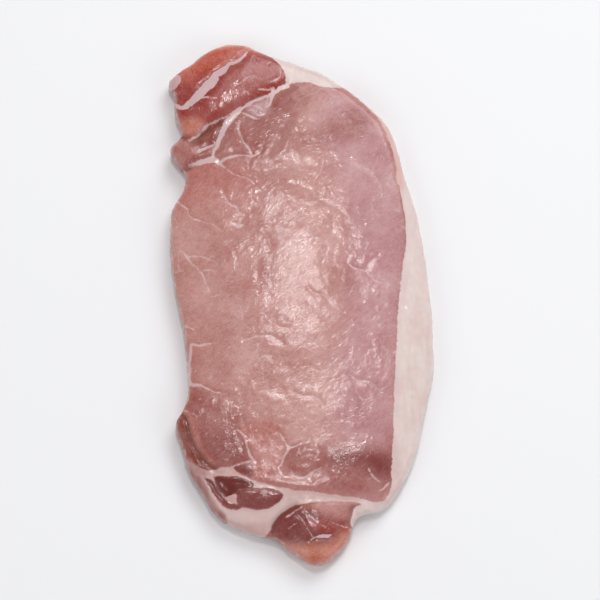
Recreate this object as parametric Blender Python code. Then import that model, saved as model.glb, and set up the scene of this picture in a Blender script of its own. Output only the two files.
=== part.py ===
"""One raw, thin-sliced, boneless pork loin chop, as a single closed solid.

The chop lies flat on its underside with its long axis along Y and the fat cap at +X. The
origin is the middle of the underside's bounding box. Run it with Blender 4.5:

    blender --background --python part.py
"""

import math

import bmesh
import bpy
import numpy as np
from mathutils import Vector
from mathutils.geometry import delaunay_2d_cdt

MM = 0.001

# Driving dimensions, in millimetres.
CHOP_LENGTH = 142.0
CHOP_WIDTH = 71.5
RIM_HEIGHT = 7.4

# The cut outline as hand-placed landmarks (x, y), named by the part of the cut that each
# stretch follows. They run clockwise and a smooth curve joins them.
LOBE_EDGE = (
    (-31.9, 45.0), (-33.8, 51.2), (-34.0, 56.0), (-35.5, 59.6), (-32.8, 63.0),
    (-29.0, 65.4), (-24.8, 68.9), (-17.0, 70.8), (-8.9, 68.0),
)
TOP_FAT_EDGE = ((1.2, 64.5), (10.2, 60.1), (16.6, 55.0), (22.9, 49.0))
FAT_CAP_EDGE = (
    (26.2, 42.3), (28.2, 34.2), (31.0, 25.5), (33.9, 9.7), (35.6, -8.1),
    (35.3, -21.5), (33.0, -31.4), (30.4, -42.3), (26.8, -50.1), (21.6, -56.2),
)
TAIL_EDGE = (
    (15.4, -58.0), (13.7, -61.6), (11.2, -66.6), (4.2, -70.8), (-1.2, -67.8),
    (-6.6, -64.0),
)
LOWER_FAT_EDGE = ((-13.2, -62.3), (-20.6, -58.8), (-25.2, -52.4), (-29.2, -45.6))
LEDGE_EDGE = ((-31.0, -39.4), (-32.8, -33.6), (-31.2, -29.8), (-29.6, -25.6))
LOIN_EDGE = (
    (-30.0, -17.0), (-30.9, -8.4), (-33.0, 1.2), (-34.5, 12.0), (-34.6, 20.6),
    (-33.4, 26.6), (-31.2, 30.0),
)
FLAP_EDGE = ((-30.8, 34.2), (-33.4, 37.6), (-34.9, 41.4))

# The rim's cross-section, from the underside to the upper face, as fractions of the
# shoulder's width (how far in) and of the rim's height (how far up).
EDGE_PROFILE = (
    (0.50, 0.00), (0.16, 0.08), (0.00, 0.26), (0.00, 0.55), (0.12, 0.76),
    (0.42, 0.92), (1.00, 1.00),
)
LEAN_SHOULDER = 1.9
FAT_SHOULDER = 3.6
FAT_SHOULDER_START = 20.0
FAT_SHOULDER_FULL = 31.0

# The upper face swells between the seams that part the muscles. Each swelling is a low
# dome: centre, half-length, half-width, turn of its length from X in degrees, and rise.
SWELLINGS = (
    ("eye of the loin", (-3.0, 6.0), 50.0, 30.0, 92.0, 1.0),
    ("upper lobe", (-20.0, 58.0), 20.0, 11.0, 38.0, 1.1),
    ("flap under the lobe", (-31.0, 40.5), 6.0, 4.5, 60.0, 0.4),
    ("dark muscle above the lower fat", (-15.5, -51.5), 9.0, 4.5, -22.0, 0.5),
    ("tail", (4.0, -62.5), 10.0, 8.5, -10.0, 1.0),
)
CROWN_RISE = 0.7
CROWN_REACH = 12.0

OUTLINE_SPACING = 2.0
FACE_SPACING = 3.4
CURVE_STEPS = 8


def clear_scene():
    """Remove what the start-up file holds."""
    for item in list(bpy.data.objects):
        bpy.data.objects.remove(item, do_unlink=True)


def outline_landmarks():
    """Return the landmarks of every stretch, in their order round the chop."""
    stretches = (LOBE_EDGE, TOP_FAT_EDGE, FAT_CAP_EDGE, TAIL_EDGE, LOWER_FAT_EDGE,
                 LEDGE_EDGE, LOIN_EDGE, FLAP_EDGE)
    return np.array([point for stretch in stretches for point in stretch])


def smooth_outline(landmarks):
    """Return closely spaced points on a closed Bezier curve through the landmarks."""
    curve = bpy.data.curves.new("chop_outline", "CURVE")
    curve.dimensions = "2D"
    curve.resolution_u = CURVE_STEPS
    spline = curve.splines.new("BEZIER")
    spline.bezier_points.add(len(landmarks) - 1)
    spline.use_cyclic_u = True
    for knot, (x, y) in zip(spline.bezier_points, landmarks):
        knot.co = (x, y, 0.0)
        knot.handle_left_type = "AUTO"
        knot.handle_right_type = "AUTO"
    guide = bpy.data.objects.new("chop_outline", curve)
    bpy.context.collection.objects.link(guide)
    bpy.context.view_layer.update()
    traced = guide.to_mesh()
    points = np.array([vertex.co[:2] for vertex in traced.vertices])
    guide.to_mesh_clear()
    bpy.data.objects.remove(guide, do_unlink=True)
    bpy.data.curves.remove(curve)
    return fit_to_size(points)


def fit_to_size(points):
    """Scale and centre the outline so that its box is the chop's width and length."""
    low = points.min(axis=0)
    high = points.max(axis=0)
    return (points - (low + high) / 2) * np.array([CHOP_WIDTH, CHOP_LENGTH]) / (high - low)


def even_spacing(points, spacing):
    """Return points evenly spaced along the closed outline, anticlockwise."""
    closed = np.vstack([points, points[:1]])
    steps = np.linalg.norm(np.diff(closed, axis=0), axis=1)
    travelled = np.concatenate([[0.0], np.cumsum(steps)])
    count = round(travelled[-1] / spacing)
    stops = np.arange(count) * travelled[-1] / count
    even = np.column_stack([np.interp(stops, travelled, closed[:, axis]) for axis in (0, 1)])
    return even[::-1]


def inward_normals(outline):
    """Return the unit normals that point into an anticlockwise outline."""
    tangent = np.roll(outline, -1, axis=0) - np.roll(outline, 1, axis=0)
    tangent /= np.linalg.norm(tangent, axis=1, keepdims=True)
    return np.column_stack([-tangent[:, 1], tangent[:, 0]])


def shoulder_width(outline):
    """Return how far in the rim rounds over: wide on the fat cap, narrow on the lean."""
    share = (outline[:, 0] - FAT_SHOULDER_START) / (FAT_SHOULDER_FULL - FAT_SHOULDER_START)
    share = np.clip(share, 0.0, 1.0)
    return LEAN_SHOULDER + (FAT_SHOULDER - LEAN_SHOULDER) * share * share * (3 - 2 * share)


def distance_inside(points, outline):
    """Return each point's distance to the closed outline."""
    starts = outline
    edges = np.roll(outline, -1, axis=0) - starts
    offsets = points[:, None, :] - starts[None, :, :]
    along = np.clip((offsets * edges).sum(axis=2) / (edges * edges).sum(axis=1), 0.0, 1.0)
    gaps = offsets - along[:, :, None] * edges[None, :, :]
    return np.sqrt((gaps * gaps).sum(axis=2)).min(axis=1)


def is_inside(points, outline):
    """Return which points the closed outline holds, by counting crossings."""
    start_x, start_y = outline.T
    end_x, end_y = np.roll(outline, -1, axis=0).T
    x, y = points[:, :1], points[:, 1:]
    spans = (start_y > y) != (end_y > y)
    rise = np.where(end_y == start_y, 1.0, end_y - start_y)
    crossing = start_x + (y - start_y) / rise * (end_x - start_x)
    return (spans & (x < crossing)).sum(axis=1) % 2 == 1


def face_points(rim):
    """Return a staggered grid of points that fills the rim, clear of its edge."""
    row_step = FACE_SPACING * math.sqrt(3) / 2
    low = rim.min(axis=0)
    high = rim.max(axis=0)
    rows = np.arange(low[1], high[1], row_step)
    columns = np.arange(low[0], high[0], FACE_SPACING)
    grid = np.array([
        (x + FACE_SPACING / 2 * (row % 2), y) for row, y in enumerate(rows) for x in columns
    ])
    grid = grid[is_inside(grid, rim)]
    return grid[distance_inside(grid, rim) > FACE_SPACING * 0.55]


def upper_height(points, rim):
    """Return the upper face's height: a low crown with a swelling over each muscle."""
    reach = np.clip(distance_inside(points, rim) / CROWN_REACH, 0.0, 1.0)
    height = RIM_HEIGHT + CROWN_RISE * np.sin(reach * math.pi / 2)
    edge_share = np.clip(reach * 3, 0.0, 1.0)
    for _name, centre, half_length, half_width, turn, rise in SWELLINGS:
        angle = math.radians(turn)
        offset = points - np.array(centre)
        along = offset @ np.array([math.cos(angle), math.sin(angle)])
        across = offset @ np.array([-math.sin(angle), math.cos(angle)])
        radius = np.clip((along / half_length) ** 2 + (across / half_width) ** 2, 0.0, 1.0)
        height += rise * (1 - radius) ** 2 * edge_share
    return height


def fill_face(shape, rim_verts, rim, heights, faces_up):
    """Fill a rim with triangles over its inner points, at the heights given.

    The rim's own vertices are reused, so that the face joins the wall without a gap.
    """
    inner = face_points(rim)
    flat = [Vector(point) for point in np.vstack([rim, inner])]
    edges = [(index, (index + 1) % len(rim)) for index in range(len(rim))]
    _verts, _edges, triangles, *_rest = delaunay_2d_cdt(flat, edges, [], 1, 1e-6)
    inner_heights = heights(inner)
    inner_verts = [
        shape.verts.new((x * MM, y * MM, z * MM)) for (x, y), z in zip(inner, inner_heights)
    ]
    verts = rim_verts + inner_verts
    for triangle in triangles:
        corners = [verts[index] for index in triangle]
        shape.faces.new(corners if faces_up else corners[::-1])


def build_chop():
    """Model the chop: rings up the rim, then the flat underside and the upper face."""
    outline = even_spacing(smooth_outline(outline_landmarks()), OUTLINE_SPACING)
    normals = inward_normals(outline)
    shoulder = shoulder_width(outline)[:, None]
    shape = bmesh.new()
    rings = []
    for inset, up in EDGE_PROFILE:
        ring = outline + normals * shoulder * inset
        rings.append([shape.verts.new((x * MM, y * MM, RIM_HEIGHT * up * MM)) for x, y in ring])
    for lower, upper in zip(rings, rings[1:]):
        for index in range(len(lower)):
            after = (index + 1) % len(lower)
            shape.faces.new((lower[index], lower[after], upper[after], upper[index]))
    underside_rim = outline + normals * shoulder * EDGE_PROFILE[0][0]
    upper_rim = outline + normals * shoulder * EDGE_PROFILE[-1][0]
    fill_face(shape, rings[0], underside_rim, lambda inner: np.zeros(len(inner)), False)
    fill_face(shape, rings[-1], upper_rim, lambda inner: upper_height(inner, upper_rim), True)
    bmesh.ops.recalc_face_normals(shape, faces=shape.faces)
    mesh = bpy.data.meshes.new("pork_chop")
    shape.to_mesh(mesh)
    shape.free()
    chop = bpy.data.objects.new("pork_chop", mesh)
    bpy.context.collection.objects.link(chop)
    for face in mesh.polygons:
        face.use_smooth = face.normal.z > -0.999
    return chop


def raw_pork_material():
    """Return the chop's plain material, the pink of moist raw pork."""
    material = bpy.data.materials.new("raw_pork")
    material.use_nodes = True
    shader = material.node_tree.nodes["Principled BSDF"]
    shader.inputs["Base Color"].default_value = (0.47, 0.22, 0.20, 1.0)
    shader.inputs["Roughness"].default_value = 0.42
    shader.inputs["Metallic"].default_value = 0.0
    return material


def main():
    """Build the chop in an empty scene."""
    clear_scene()
    chop = build_chop()
    chop.data.materials.append(raw_pork_material())


main()
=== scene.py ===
"""Looks of a raw, thin-sliced, boneless pork loin chop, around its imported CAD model.

The CAD node is one plain slab. This script grows a fine skin over a copy of it, sculpts the
muscles, seams and cut surface into that skin, and marks on it where lean, fat and marbling
lie. One procedural material then dresses it. Places on the cut face are in millimetres, x
across the chop towards its fat cap and y along it towards the upper lobe.
"""

from __future__ import annotations

import logging
import math
from dataclasses import dataclass
from enum import Enum
from functools import partial

import bpy
import numpy as np
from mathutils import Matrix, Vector, kdtree, noise


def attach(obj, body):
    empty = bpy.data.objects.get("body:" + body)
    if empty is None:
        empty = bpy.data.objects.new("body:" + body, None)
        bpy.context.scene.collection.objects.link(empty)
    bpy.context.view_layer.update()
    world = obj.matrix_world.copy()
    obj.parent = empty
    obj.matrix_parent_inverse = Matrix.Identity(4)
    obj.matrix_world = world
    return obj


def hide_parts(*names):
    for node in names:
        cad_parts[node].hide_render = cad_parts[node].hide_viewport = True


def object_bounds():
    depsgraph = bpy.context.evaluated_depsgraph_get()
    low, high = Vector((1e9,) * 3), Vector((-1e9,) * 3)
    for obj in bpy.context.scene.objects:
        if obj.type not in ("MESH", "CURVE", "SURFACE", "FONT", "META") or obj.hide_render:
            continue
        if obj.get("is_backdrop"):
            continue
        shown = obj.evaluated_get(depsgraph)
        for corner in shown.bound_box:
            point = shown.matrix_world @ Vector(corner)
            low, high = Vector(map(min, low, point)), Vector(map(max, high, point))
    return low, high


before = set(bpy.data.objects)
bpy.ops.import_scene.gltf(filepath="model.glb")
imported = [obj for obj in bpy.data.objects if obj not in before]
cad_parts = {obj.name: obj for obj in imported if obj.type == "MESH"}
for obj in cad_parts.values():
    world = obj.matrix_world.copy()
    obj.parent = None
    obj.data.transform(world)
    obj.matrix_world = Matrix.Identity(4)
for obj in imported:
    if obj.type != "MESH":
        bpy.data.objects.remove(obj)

MM = 0.001
# Beyond this distance, in millimetres, a route has no say.
REACH = 7.0
SEED_STEP = Vector((7.31, 3.17, 5.73))
LOG = logging.getLogger("pork_chop")

Array = np.ndarray
Place = tuple[float, float]
Triple = tuple[float, float, float]
Colour = tuple[float, float, float, float]
Object = bpy.types.Object
Mesh = bpy.types.Mesh
Tree = bpy.types.NodeTree
Socket = bpy.types.NodeSocket
Inputs = dict[str | int, object] | tuple[object, ...]
Adder = partial[Socket]

SMOOTH = {"interpolation_type": "SMOOTHSTEP"}


class Tone(Enum):
    """Colours of raw pork, as sRGB hex: lean by how hard its muscle works, then fat. EMBER, AMBER and PEACH
    also paint glow at thin edges; RUST, MAROON and TAN partly paint shade.
    """

    PALE = "#b5827b"
    ROSE = "#b0736c"
    MAUVE = "#b48284"
    DUSKY = "#985a54"
    RUDDY = "#964641"
    EMBER = "#c26c5b"
    AMBER = "#bd7866"
    PEACH = "#d69a86"
    RUST = "#7a3529"
    WINE = "#7b3b38"
    MAROON = "#651c16"
    SINEW = "#c7a8ab"
    CREAM = "#dccbc6"
    BLUSH = "#c4a39e"
    TAN = "#8e5249"
    FLUSH = "#b9837b"


def linear_colour(code: str) -> Colour:
    """Turn an sRGB hex colour into a linear one.

    Args:
        code: The colour as "#rrggbb".

    Returns:
        Red, green, blue and a full alpha, linear.
    """
    shares = [int(code[start : start + 2], 16) / 255 for start in (1, 3, 5)]
    linear = [s / 12.92 if s <= 0.04045 else ((s + 0.055) / 1.055) ** 2.4 for s in shares]
    return (linear[0], linear[1], linear[2], 1.0)


def smooth_step(values: Array, low: float, high: float) -> Array:
    """Rise smoothly from 0 at low to 1 at high."""
    share = np.clip((values - low) / (high - low), 0.0, 1.0)
    return share * share * (3 - 2 * share)


def smooth_route(points: Array, closed: bool, steps: int = 6) -> Array:
    """Draw a smooth curve through given points.

    Args:
        points: One row for each point, with any number of columns.
        closed: Whether the curve returns to its start.
        steps: How many stretches to draw between two points.

    Returns:
        The curve's points, one row each.
    """
    count = len(points)
    order = np.arange(-1, count + 2) % count if closed else np.arange(-1, count + 1)
    knots = points[np.clip(order, 0, count - 1)]
    drawn = []
    for before, start, end, after in zip(knots, knots[1:], knots[2:], knots[3:]):
        bend = 2 * before - 5 * start + 4 * end - after
        twist = 3 * start - before - 3 * end + after
        for share in np.arange(steps) / steps:
            drawn.append(
                start + 0.5 * (end - before) * share + 0.5 * bend * share**2 + 0.5 * twist * share**3
            )
    if not closed:
        drawn.append(points[-1])
    return np.array(drawn)


def nearest_on(route: Array, places: Array) -> tuple[Array, Array]:
    """Find how far each place is from a route, up to REACH, and the route's width there.

    Args:
        route: Rows of x, y and half-width.
        places: Rows of x and y.

    Returns:
        Each place's distance to the route, and the half-width at the nearest point.
    """
    low, high = route[:, :2].min(axis=0) - REACH, route[:, :2].max(axis=0) + REACH
    near = np.flatnonzero(np.all((places > low) & (places < high), axis=1))
    around = places[near]
    distance = np.full(len(places), REACH)
    width = np.zeros(len(places))
    for start, end in zip(route, route[1:]):
        edge = end[:2] - start[:2]
        offset = around - start[:2]
        along = np.clip(offset @ edge / max(float(edge @ edge), 1e-9), 0.0, 1.0)
        gap = np.hypot(*(offset - along[:, None] * edge).T)
        here = start[2] + along * (end[2] - start[2])
        closer = gap - here < (distance - width)[near]
        distance[near[closer]] = gap[closer]
        width[near[closer]] = here[closer]
    return distance, width


def ripple(places: Array, *swells: Triple) -> Array:
    """Give smooth noise at each place, as a sum of swells.

    Args:
        places: Rows of x, y and z in millimetres.
        swells: For each, its length in millimetres, its seed and its height.

    Returns:
        One value for each place.
    """
    total = np.zeros(len(places))
    for size, seed, height in swells:
        shift = seed * SEED_STEP
        total += height * np.array([noise.noise(Vector(at) / size + shift) for at in places.tolist()])
    return total


@dataclass(frozen=True)
class Seam:
    """A strand of fat or gristle, as a route with its half-width at each point."""

    route: tuple[Triple, ...]

    def depth(self, places: Array) -> Array:
        """Return how deep inside the strand each place lies, negative outside it."""
        distance, width = nearest_on(smooth_route(np.array(self.route), closed=False), places)
        return width - distance


@dataclass(frozen=True)
class Patch:
    """An area of the cut face, inside a closed curve through listed points."""

    edge: tuple[Place, ...]

    def depth(self, places: Array) -> Array:
        """Measure how deep inside the area places lie.

        Args:
            places: Rows of x and y.

        Returns:
            Each place's depth, negative outside the area.
        """
        curve = smooth_route(np.array(self.edge), closed=True)
        closed = np.vstack([curve, curve[:1]])
        distance, _width = nearest_on(np.column_stack([closed, np.zeros(len(closed))]), places)
        inside = np.zeros(len(places), dtype=bool)
        for (x0, y0), (x1, y1) in zip(closed, closed[1:]):
            spans = (y0 > places[:, 1]) != (y1 > places[:, 1])
            slope = (x1 - x0) / (y1 - y0) if y1 != y0 else 0.0
            inside ^= spans & (places[:, 0] < x0 + (places[:, 1] - y0) * slope)
        return np.where(inside, distance, -distance)


@dataclass(frozen=True)
class Zone:
    """A muscle, a part of one or a body of fat, with its colour, grain, swell and marbling.

    Its colour covers what lies below by its strength, and blends in over its edge. Some zones paint glow or
    shade into the colour.
    """

    name: str
    tone: Tone
    strength: float
    blend: float
    edge: tuple[Place, ...]
    turn: float | None = None
    swell: float = 0.0
    marbling: float | None = None
    in_fat: bool = False

    def depth(self, places: Array) -> Array:
        """Return how deep inside the zone each place lies, negative outside it."""
        return Patch(self.edge).depth(places)

    def share(self, depth: Array) -> Array:
        """Return how fully places at these depths take the zone's colour, from 0 to 1."""
        return self.strength * smooth_step(depth, -self.blend, self.blend)


MUSCLES = (
    Zone("rosy top of the loin", Tone.ROSE, 1, 4, (
        (-32, 36), (-24, 37), (-15, 38), (-12, 30), (-17, 24), (-26, 25), (-33, 27))),
    Zone("outer side of the loin", Tone.MAUVE, 1, 6, (
        (8, 58), (20, 50), (28, 36), (30, 10), (27, -20), (25, -50), (12, -50), (10, -20), (13, 5),
        (11, 30), (6, 44))),
    Zone("shaded band of the loin", Tone.DUSKY, 0.8, 3.4, (
        (3, 47), (8, 49), (14, 52), (19, 49), (15, 44), (8, 42), (2, 41), (-3, 46))),
    Zone("upper middle of the loin", Tone.DUSKY, 0.5, 5, (
        (-19, 48), (-12, 54), (-3, 52), (-1, 42), (-5, 30), (-4, 14), (-8, 2), (-12, 10), (-13, 28),
        (-14, 38))),
    Zone("top of the loin under the lobe", Tone.DUSKY, 0.95, 3.6, (
        (-23, 39), (-20.5, 46), (-17, 50), (-13, 53), (-8, 54), (-4, 58), (1, 58), (-1, 49), (-6, 39),
        (-12, 37), (-18, 38.5)), swell=0.3),
    Zone("marbled tangle under the lobe", Tone.SINEW, 0.5, 1.1, (
        (-14.5, 52.4), (-12, 54), (-8.4, 54.6), (-8, 52), (-10, 49.8), (-13, 50.2))),
    Zone("lower loin", Tone.DUSKY, 1, 3, (
        (-34, -25), (-28, -24), (-22, -26), (-16.8, -29.4), (-15, -34), (-13.8, -38), (-12.9, -42),
        (-13.4, -44), (-18, -45.2), (-22, -45.5), (-27, -43.5), (-34, -40)), swell=0.3),
    Zone("deepest part of the lower loin", Tone.WINE, 0.5, 3.4, (
        (-26, -38), (-18, -36), (-15, -38), (-14, -43), (-20, -45), (-26, -42))),
    Zone("loin between the lower muscles", Tone.ROSE, 0.9, 0.7, (
        (-15.6, -34.6), (-9, -33), (-4, -36), (-3.6, -40), (-5.4, -45), (-8, -49), (-11.9, -48),
        (-12.2, -42), (-13.8, -38)), marbling=0.7),
    Zone("round muscle above the lower fat", Tone.DUSKY, 0.85, 1.6, (
        (-3.8, -41.6), (-1, -39.4), (4, -38.6), (7.4, -41), (7, -45), (4, -47), (0, -47.8), (-3.4, -46),
        (-4.6, -44)), swell=0.35),
    Zone("lower right of the loin", Tone.DUSKY, 0.85, 3, (
        (7, -41), (12, -39), (18, -39), (24.5, -41), (24.5, -50), (22.4, -53.6), (16, -53), (8, -52),
        (-2, -51), (-8, -49.5), (-6, -48), (2, -49), (6, -46)), swell=0.2, marbling=0.45),
    Zone("dark streak of the lower right", Tone.WINE, 0.95, 2.6, (
        (9, -41), (18, -41.5), (24, -43), (24, -48), (20, -47), (17, -44.8), (9, -44.5))),
    Zone("upper lobe", Tone.RUDDY, 1, 0.5, (
        (-3.6, 58.6), (-8.6, 56.3), (-14.2, 53.6), (-18, 51), (-22.4, 49), (-26.6, 46), (-29.8, 43.4),
        (-38, 44), (-44, 58), (-30, 76), (-8, 78), (-2.6, 64)), turn=118, swell=0.35, marbling=0.8),
    Zone("middle of the upper lobe", Tone.ROSE, 0.15, 2.6, (
        (-20, 61), (-16, 63), (-9, 64.5), (-6, 62), (-9, 59), (-16, 57), (-20, 58))),
    # Painted glow: the lobe's crown and upper rim grow lighter and warmer towards its thin top edge,
    # standing in for light coming through it.
    Zone("crown of the upper lobe", Tone.EMBER, 0.75, 3.2, (
        (-31, 60), (-27, 62), (-22, 64), (-17, 67), (-12, 69), (-12, 76), (-30, 76), (-38, 64))),
    Zone("upper rim of the lobe", Tone.PEACH, 0.8, 0.9, (
        (-33, 63.4), (-28.6, 65), (-24.6, 68), (-17, 69.9), (-10, 68.4), (-8, 72), (-18, 76), (-34, 70))),
    Zone("foot of the upper lobe", Tone.AMBER, 0.7, 1.6, (
        (-31, 49), (-27, 49), (-25, 47.5), (-28, 45), (-30, 44), (-34, 47))),
    Zone("dark strip under the lobe", Tone.RUST, 0.8, 0.6, (
        (-20.2, 49.6), (-21.6, 45.2), (-23, 42.6), (-26, 41.6), (-29, 41.4), (-29.4, 43.2), (-26.6, 45.8),
        (-23.2, 48.3)), swell=-0.35, marbling=0.3),
    Zone("flap under the lobe", Tone.DUSKY, 0.75, 0.7, (
        (-28.8, 42.4), (-24, 40.4), (-23.6, 38.4), (-27, 37.6), (-30, 36.2), (-34, 34), (-39, 40),
        (-36, 46), (-30.6, 43.8)), turn=75, swell=0.45),
    Zone("wedge beside the lower fat", Tone.WINE, 0.9, 0.6, (
        (-17.7, -45.3), (-14.4, -44.3), (-12.6, -44.7), (-12, -46.4), (-13, -48), (-15.8, -46.9)
    ), swell=0.1),
    # Its dark rust red is partly the ledge muscle's own orange-red and partly painted shade, as the ledge
    # lies low at the side.
    Zone("overhanging rim of the lower loin", Tone.RUST, 0.95, 0.5, (
        (-36, -30.2), (-32, -30.2), (-30.2, -31.6), (-29.2, -34.6), (-28.1, -38.2), (-26.6, -41.4),
        (-24.6, -44), (-22.2, -45.9), (-24.6, -46.1), (-27.2, -44.6), (-29.4, -42.8), (-37, -41)
    ), turn=10, swell=-0.45, marbling=0.25),
    Zone("lit rim of the lower loin", Tone.AMBER, 0.35, 0.6, (
        (-30.6, -29), (-28.4, -31.6), (-27, -36), (-25.4, -40.4), (-22.6, -43.6), (-23.6, -44.9),
        (-26.6, -41.4), (-28.4, -37.6), (-29.8, -33))),
    # Its near-black red is partly the muscle's own colour and partly painted shade of its recess.
    Zone("dark muscle in the lower fat", Tone.MAROON, 1, 0.5, (
        (-22.6, -47.9), (-19, -47.8), (-16, -47.9), (-12.6, -49.4), (-12.6, -51), (-16, -51.6),
        (-17.6, -53), (-19.2, -53.3), (-21.4, -51)), turn=5, swell=-0.35, marbling=0.05, in_fat=True),
    Zone("oval muscle in the lower fat", Tone.WINE, 1, 0.5, (
        (-16.6, -51.6), (-12.6, -50.9), (-8, -50.8), (-5.2, -51.6), (-4.6, -53), (-6, -55), (-9, -56.5),
        (-13, -56.4), (-16.4, -55.2)), turn=160, swell=0.15, marbling=0.25, in_fat=True),
    Zone("upper sliver beside the lower fat", Tone.WINE, 1, 0.5, (
        (-25, -48.3), (-23.5, -48.5), (-21.9, -50.6), (-20, -53.4), (-17.8, -54.7), (-15.4, -55.7),
        (-16.2, -56.5), (-19, -56), (-21.5, -54.2), (-23.4, -51.2)), turn=120, marbling=0.1, in_fat=True),
    Zone("tail", Tone.WINE, 1, 0.5, (
        (-7.6, -62), (-6.4, -59.4), (-3.4, -56.4), (0.6, -55), (6, -54.5), (12, -54.4), (16, -54.8),
        (14.6, -56), (13.9, -58.4), (13.5, -61), (16, -65), (14, -76), (0, -78), (-10, -68)
    ), turn=25, swell=0.2, marbling=0.3, in_fat=True),
    Zone("middle of the tail", Tone.RUDDY, 0.8, 1.4, (
        (4, -59), (9, -59.4), (13, -60), (18, -62), (11, -62.8), (6, -62.4), (2, -61))),
    Zone("upper side of the tail", Tone.ROSE, 0.8, 1.3, (
        (0, -55.8), (4, -57), (9, -59), (12.8, -58.6), (13.4, -56), (16.6, -54.4), (8, -54), (2, -54.4))),
    # Painted glow: the tail's thin lower edge is painted a lighter amber, standing in for light coming
    # through it.
    Zone("tip of the tail", Tone.AMBER, 0.9, 1.8, (
        (-5, -67), (-1.6, -65.8), (3, -65.6), (8, -65), (11, -62.8), (18, -62), (14, -76), (0, -78))),
)

LOWER_FAT = Patch((
    (-34, -43.2), (-29.2, -43.6), (-26.8, -45.2), (-23.8, -46.2), (-21.2, -45.5), (-18.8, -45.1),
    (-17.5, -45.7), (-16.4, -46.8), (-14.4, -47.6), (-12.2, -48.8), (-9.8, -49.6), (-7, -50.1),
    (-4.4, -50.6), (-1.6, -51.3), (1.6, -51.7), (5, -51.9), (8, -52.5), (11, -52.8), (14.4, -53.1),
    (17.2, -53.7), (18.9, -54.3), (20.6, -54.4), (22.3, -53.7), (23.6, -51.8), (24.2, -49), (24.2, -45),
    (24.5, -38), (24.8, -30), (25.1, -21), (25.8, -9), (26.4, 0), (27.5, 9), (28.4, 16), (28.3, 23),
    (27.2, 30), (27.1, 35), (36, 38), (44, 0), (40, -60), (18, -82), (-20, -82), (-42, -60)
))
UPPER_FAT = Patch((
    (-4.1, 58.4), (-2.8, 59.1), (-0.8, 59.6), (1.6, 59.5), (4, 59.1), (6.4, 58.2), (9.6, 58), (12.6, 57.5),
    (15.2, 55.3), (18.2, 52.4), (21.3, 49), (24, 43.4), (26, 37.4), (27, 31), (36, 34), (38, 58), (12, 80),
    (-8, 78), (-13, 71.4), (-11.4, 68.9), (-8.6, 67.1), (-6, 65.2), (-4.4, 62.8), (-3.8, 60.4)
))
FAT_NODULES = (
    Patch(((-36.6, 56.4), (-34.4, 56.4), (-32.6, 58), (-31.6, 60), (-33, 61.6), (-36, 63))),
    Patch(((-18.9, -53.4), (-17.8, -52.9), (-16.6, -53), (-16.5, -54.6), (-17.4, -55),
           (-18.9, -54.4))),
)
FAT_ZONES = (
    Zone("fat cap and upper corner", Tone.CREAM, 1, 2, (
        (-6, 56), (8, 54), (20, 46), (24, 34), (24.6, 0), (22, -44), (19, -52), (11, -54.4), (11, -66),
        (26, -66), (48, -40), (48, 60), (0, 84), (-14, 74), (-10, 64))),
    Zone("lower fat", Tone.BLUSH, 1, 1.5, (
        (-32, -48), (-20, -46), (-10, -47), (0, -50), (12, -51.6), (16, -54.4), (10, -56), (0, -58),
        (-6, -80), (-40, -70))),
    Zone("tanned edge of the upper fat", Tone.PEACH, 0.55, 0.8, (
        (10, 58.8), (15.6, 56), (19, 53), (22.4, 50), (25.6, 44.4), (27.8, 38), (28.4, 31), (26, 31),
        (25, 38), (22, 46), (17, 51), (12, 56))),
    Zone("lower corner of the fat cap", Tone.BLUSH, 0.4, 1.4, (
        (23, -38), (25.4, -38), (27, -47), (24.6, -53), (20, -55), (21, -51))),
    Zone("strip between the muscles of the lower fat", Tone.CREAM, 0.4, 1, (
        (-24, -49), (-21.4, -53.6), (-17, -56.2), (-12, -57), (-7, -56), (-3.6, -53), (-5, -58), (-13, -60),
        (-20, -58))),
    # Its dark brown is partly the fat rim's own brownish pink and partly painted shadow along the lower
    # left edge.
    Zone("brown rim of the lower fat", Tone.TAN, 0.95, 0.5, (
        (-36, -44), (-29, -46.8), (-25.7, -48), (-24.2, -50.8), (-23, -53.2), (-21.2, -55.8),
        (-19.2, -58.2), (-20, -64), (-34, -62))),
    # Painted shadow: a dark tan laid over the pinkish fat of the fold under the ledge.
    Zone("flushed fold under the ledge", Tone.TAN, 0.75, 0.7, (
        (-35, -42), (-28.6, -43), (-24, -45.9), (-25.4, -47.2), (-29, -47.2), (-36, -47))),
    Zone("flushed seam above the dark muscles", Tone.FLUSH, 0.45, 0.8, (
        (-26, -45.6), (-18, -44.4), (-13, -47.4), (-12, -49.6), (-16, -48.2), (-22, -48.4))),
    Zone("flushed nodule between the dark muscles", Tone.FLUSH, 0.7, 0.5, (
        (-19.6, -53.8), (-18.4, -52.4), (-16.2, -52.6), (-15.8, -54.8), (-17.4, -55.6), (-19.4, -54.8))),
    Zone("flushed spot at the lobe's corner", Tone.FLUSH, 0.45, 1, (
        (-38, 55), (-33.6, 56), (-31, 59), (-32, 63), (-38, 64))),
)

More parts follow.
